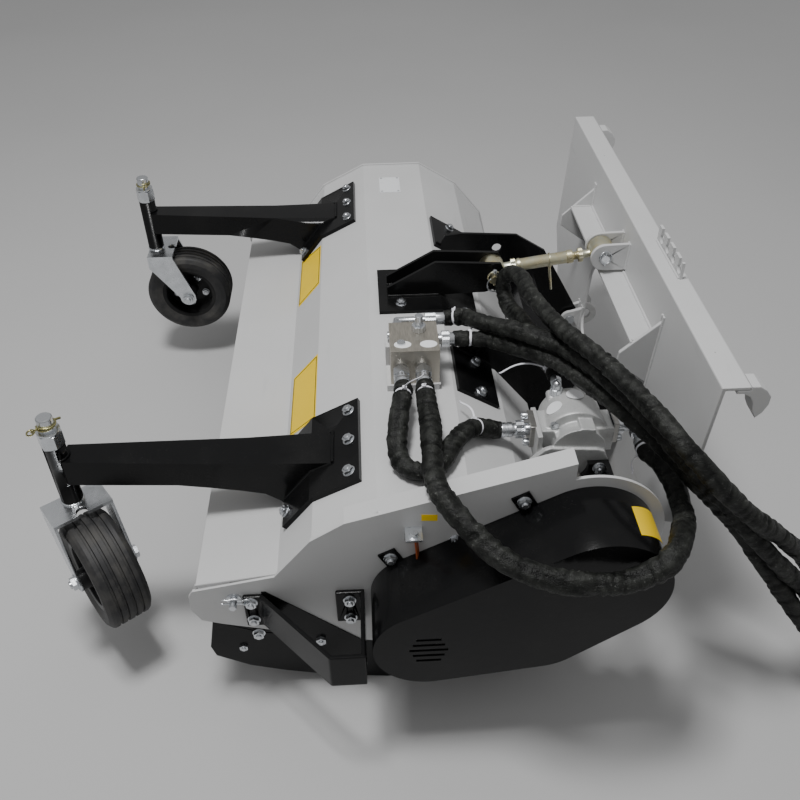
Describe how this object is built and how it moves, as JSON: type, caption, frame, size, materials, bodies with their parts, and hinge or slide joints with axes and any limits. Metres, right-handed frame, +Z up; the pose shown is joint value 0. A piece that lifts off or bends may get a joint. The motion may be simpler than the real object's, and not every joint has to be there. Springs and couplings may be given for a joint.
{
  "type": "flail mower",
  "caption": "Front flail mower for a loader: grey hood, flail rotor with belt drive, hydraulic motor, caster wheels on arms, skids, tilting quick-hitch frame and free hydraulic hoses.",
  "frame": {"origin": "middle of the footprint on the ground, measured without the free hoses and their couplers", "axes": "+X across the mower towards the belt side, +Y rearwards towards the hitch, +Z up"},
  "size_m": [1.612, 2.1401, 0.702],
  "materials": {
    "hood_paint": "satin light grey paint",
    "black_paint": "gloss black powder coat",
    "zinc": "bright zinc plate",
    "gold_zinc": "yellow zinc plate",
    "cast_alu": "cast, unpainted",
    "steel": "plain machined steel",
    "rotor_black": "satin black",
    "flap_rubber": "matt rubber",
    "tyre": "ribbed black rubber",
    "hose_sleeve": "hydraulic hose in a black textile sleeve",
    "belt": "V-belt rubber"
  },
  "bodies": {
    "mower": {"hood_shell": "hood_paint", "near_end_plate": "hood_paint", "far_end_plate": "hood_paint", "near_skid": "black_paint", "far_skid": "black_paint", "bumper_guard": "black_paint", "near_caster_arm": "black_paint", "far_caster_arm": "black_paint", "link_clevis": "black_paint", "near_rear_bracket": "black_paint", "far_rear_bracket": "black_paint", "rear_cross_tube": "black_paint", "motor_mount": "black_paint", "motor_housing": "cast_alu", "motor_fittings": "zinc", "valve_bracket": "hood_paint", "valve_block": "steel", "valve_fittings": "zinc", "belt_guard": "black_paint", "drive_belts": "belt", "tensioner_arm": "steel", "near_bearing": "steel", "far_bearing": "steel", "flap_rod": "zinc", "rear_flap": "flap_rubber", "roller_hangers": "black_paint", "front_link_pin": "gold_zinc", "hood_bolts": "zinc", "plate_bolts": "zinc", "guard_latch": "zinc", "pressure_hose": "hose_sleeve", "return_hose": "hose_sleeve", "drain_hose": "hose_sleeve", "motor_feed_hose": "hose_sleeve", "motor_return_hose": "hose_sleeve", "hose_couplers": "zinc"},
    "rotor": {"rotor_tube": "rotor_black", "flails": "steel", "flail_bolts": "zinc", "rotor_pulley": "steel"},
    "drive_pulley": {"motor_shaft": "steel", "motor_pulley": "steel"},
    "idler": {"idler_roller": "steel"},
    "ground_roller": {"rear_roller": "rotor_black"},
    "flap": {"front_flap": "black_paint"},
    "near_caster": {"near_caster_fork": "zinc", "near_stem_collar": "zinc"},
    "far_caster": {"far_caster_fork": "zinc", "far_stem_collar": "zinc"},
    "near_wheel": {"near_wheel_rim": "black_paint", "near_tyre": "tyre"},
    "far_wheel": {"far_wheel_rim": "black_paint", "far_tyre": "tyre"},
    "link": {"turnbuckle_sleeve": "gold_zinc"},
    "link_screw": {"turnbuckle_eye": "gold_zinc"},
    "hitch": {"hitch_frame": "hood_paint", "hitch_gussets": "hood_paint", "link_ears": "hood_paint", "pivot_lugs": "hood_paint", "lock_eyes": "hood_paint", "hitch_hooks": "hood_paint", "coupler_comb": "hood_paint", "hitch_pins": "zinc"}
  },
  "joints": [
    {"name": "rotor_spin", "type": "hinge", "parent": "mower", "child": "rotor", "pos_m": [-0.06, 0.06656, 0.29], "axis": [1, 0, 0], "continuous": true},
    {"name": "drive_spin", "type": "hinge", "parent": "mower", "child": "drive_pulley", "pos_m": [0.54, 0.35456, 0.44], "axis": [1, 0, 0], "continuous": true},
    {"name": "idler_spin", "type": "hinge", "parent": "mower", "child": "idler", "pos_m": [0.719, 0.24802, 0.27715], "axis": [1, 0, 0], "continuous": true},
    {"name": "ground_roller_spin", "type": "hinge", "parent": "mower", "child": "ground_roller", "pos_m": [-0.06, 0.30256, 0.062], "axis": [1, 0, 0], "continuous": true},
    {"name": "front_flap_swing", "type": "hinge", "parent": "mower", "child": "flap", "pos_m": [-0.06, -0.28544, 0.29], "axis": [1, 0, 0], "range_deg": [-15, 60]},
    {"name": "near_caster_swivel", "type": "hinge", "parent": "mower", "child": "near_caster", "pos_m": [0.435, -0.61144, 0.43], "axis": [0, 0, 1], "continuous": true},
    {"name": "far_caster_swivel", "type": "hinge", "parent": "mower", "child": "far_caster", "pos_m": [-0.555, -0.61144, 0.43], "axis": [0, 0, 1], "continuous": true},
    {"name": "near_wheel_spin", "type": "hinge", "parent": "near_caster", "child": "near_wheel", "pos_m": [0.49568, -0.56736, 0.224], "axis": [0.5878, -0.809, 0], "continuous": true},
    {"name": "far_wheel_spin", "type": "hinge", "parent": "far_caster", "child": "far_wheel", "pos_m": [-0.555, -0.53644, 0.224], "axis": [1, 0, 0], "continuous": true},
    {"name": "hitch_tilt", "type": "hinge", "parent": "mower", "child": "hitch", "pos_m": [-0.06, 0.52856, 0.262], "axis": [1, 0, 0], "range_deg": [-6, 2]},
    {"name": "link_pivot", "type": "hinge", "parent": "mower", "child": "link", "pos_m": [-0.06, 0.27356, 0.55], "axis": [1, 0, 0], "range_deg": [-1.3, 0.6]},
    {"name": "link_length", "type": "slide", "parent": "link", "child": "link_screw", "axis": [0, 0.9886, 0.1503], "range_m": [-0.0118, 0.0345]}
  ],
  "couplings": [
    {"joint": "drive_spin", "follows": "rotor_spin", "ratio": 0.70588},
    {"joint": "link_pivot", "follows": "hitch_tilt", "ratio": 0.19},
    {"joint": "link_length", "follows": "hitch_tilt", "m_per_rad": -0.323}
  ]
}
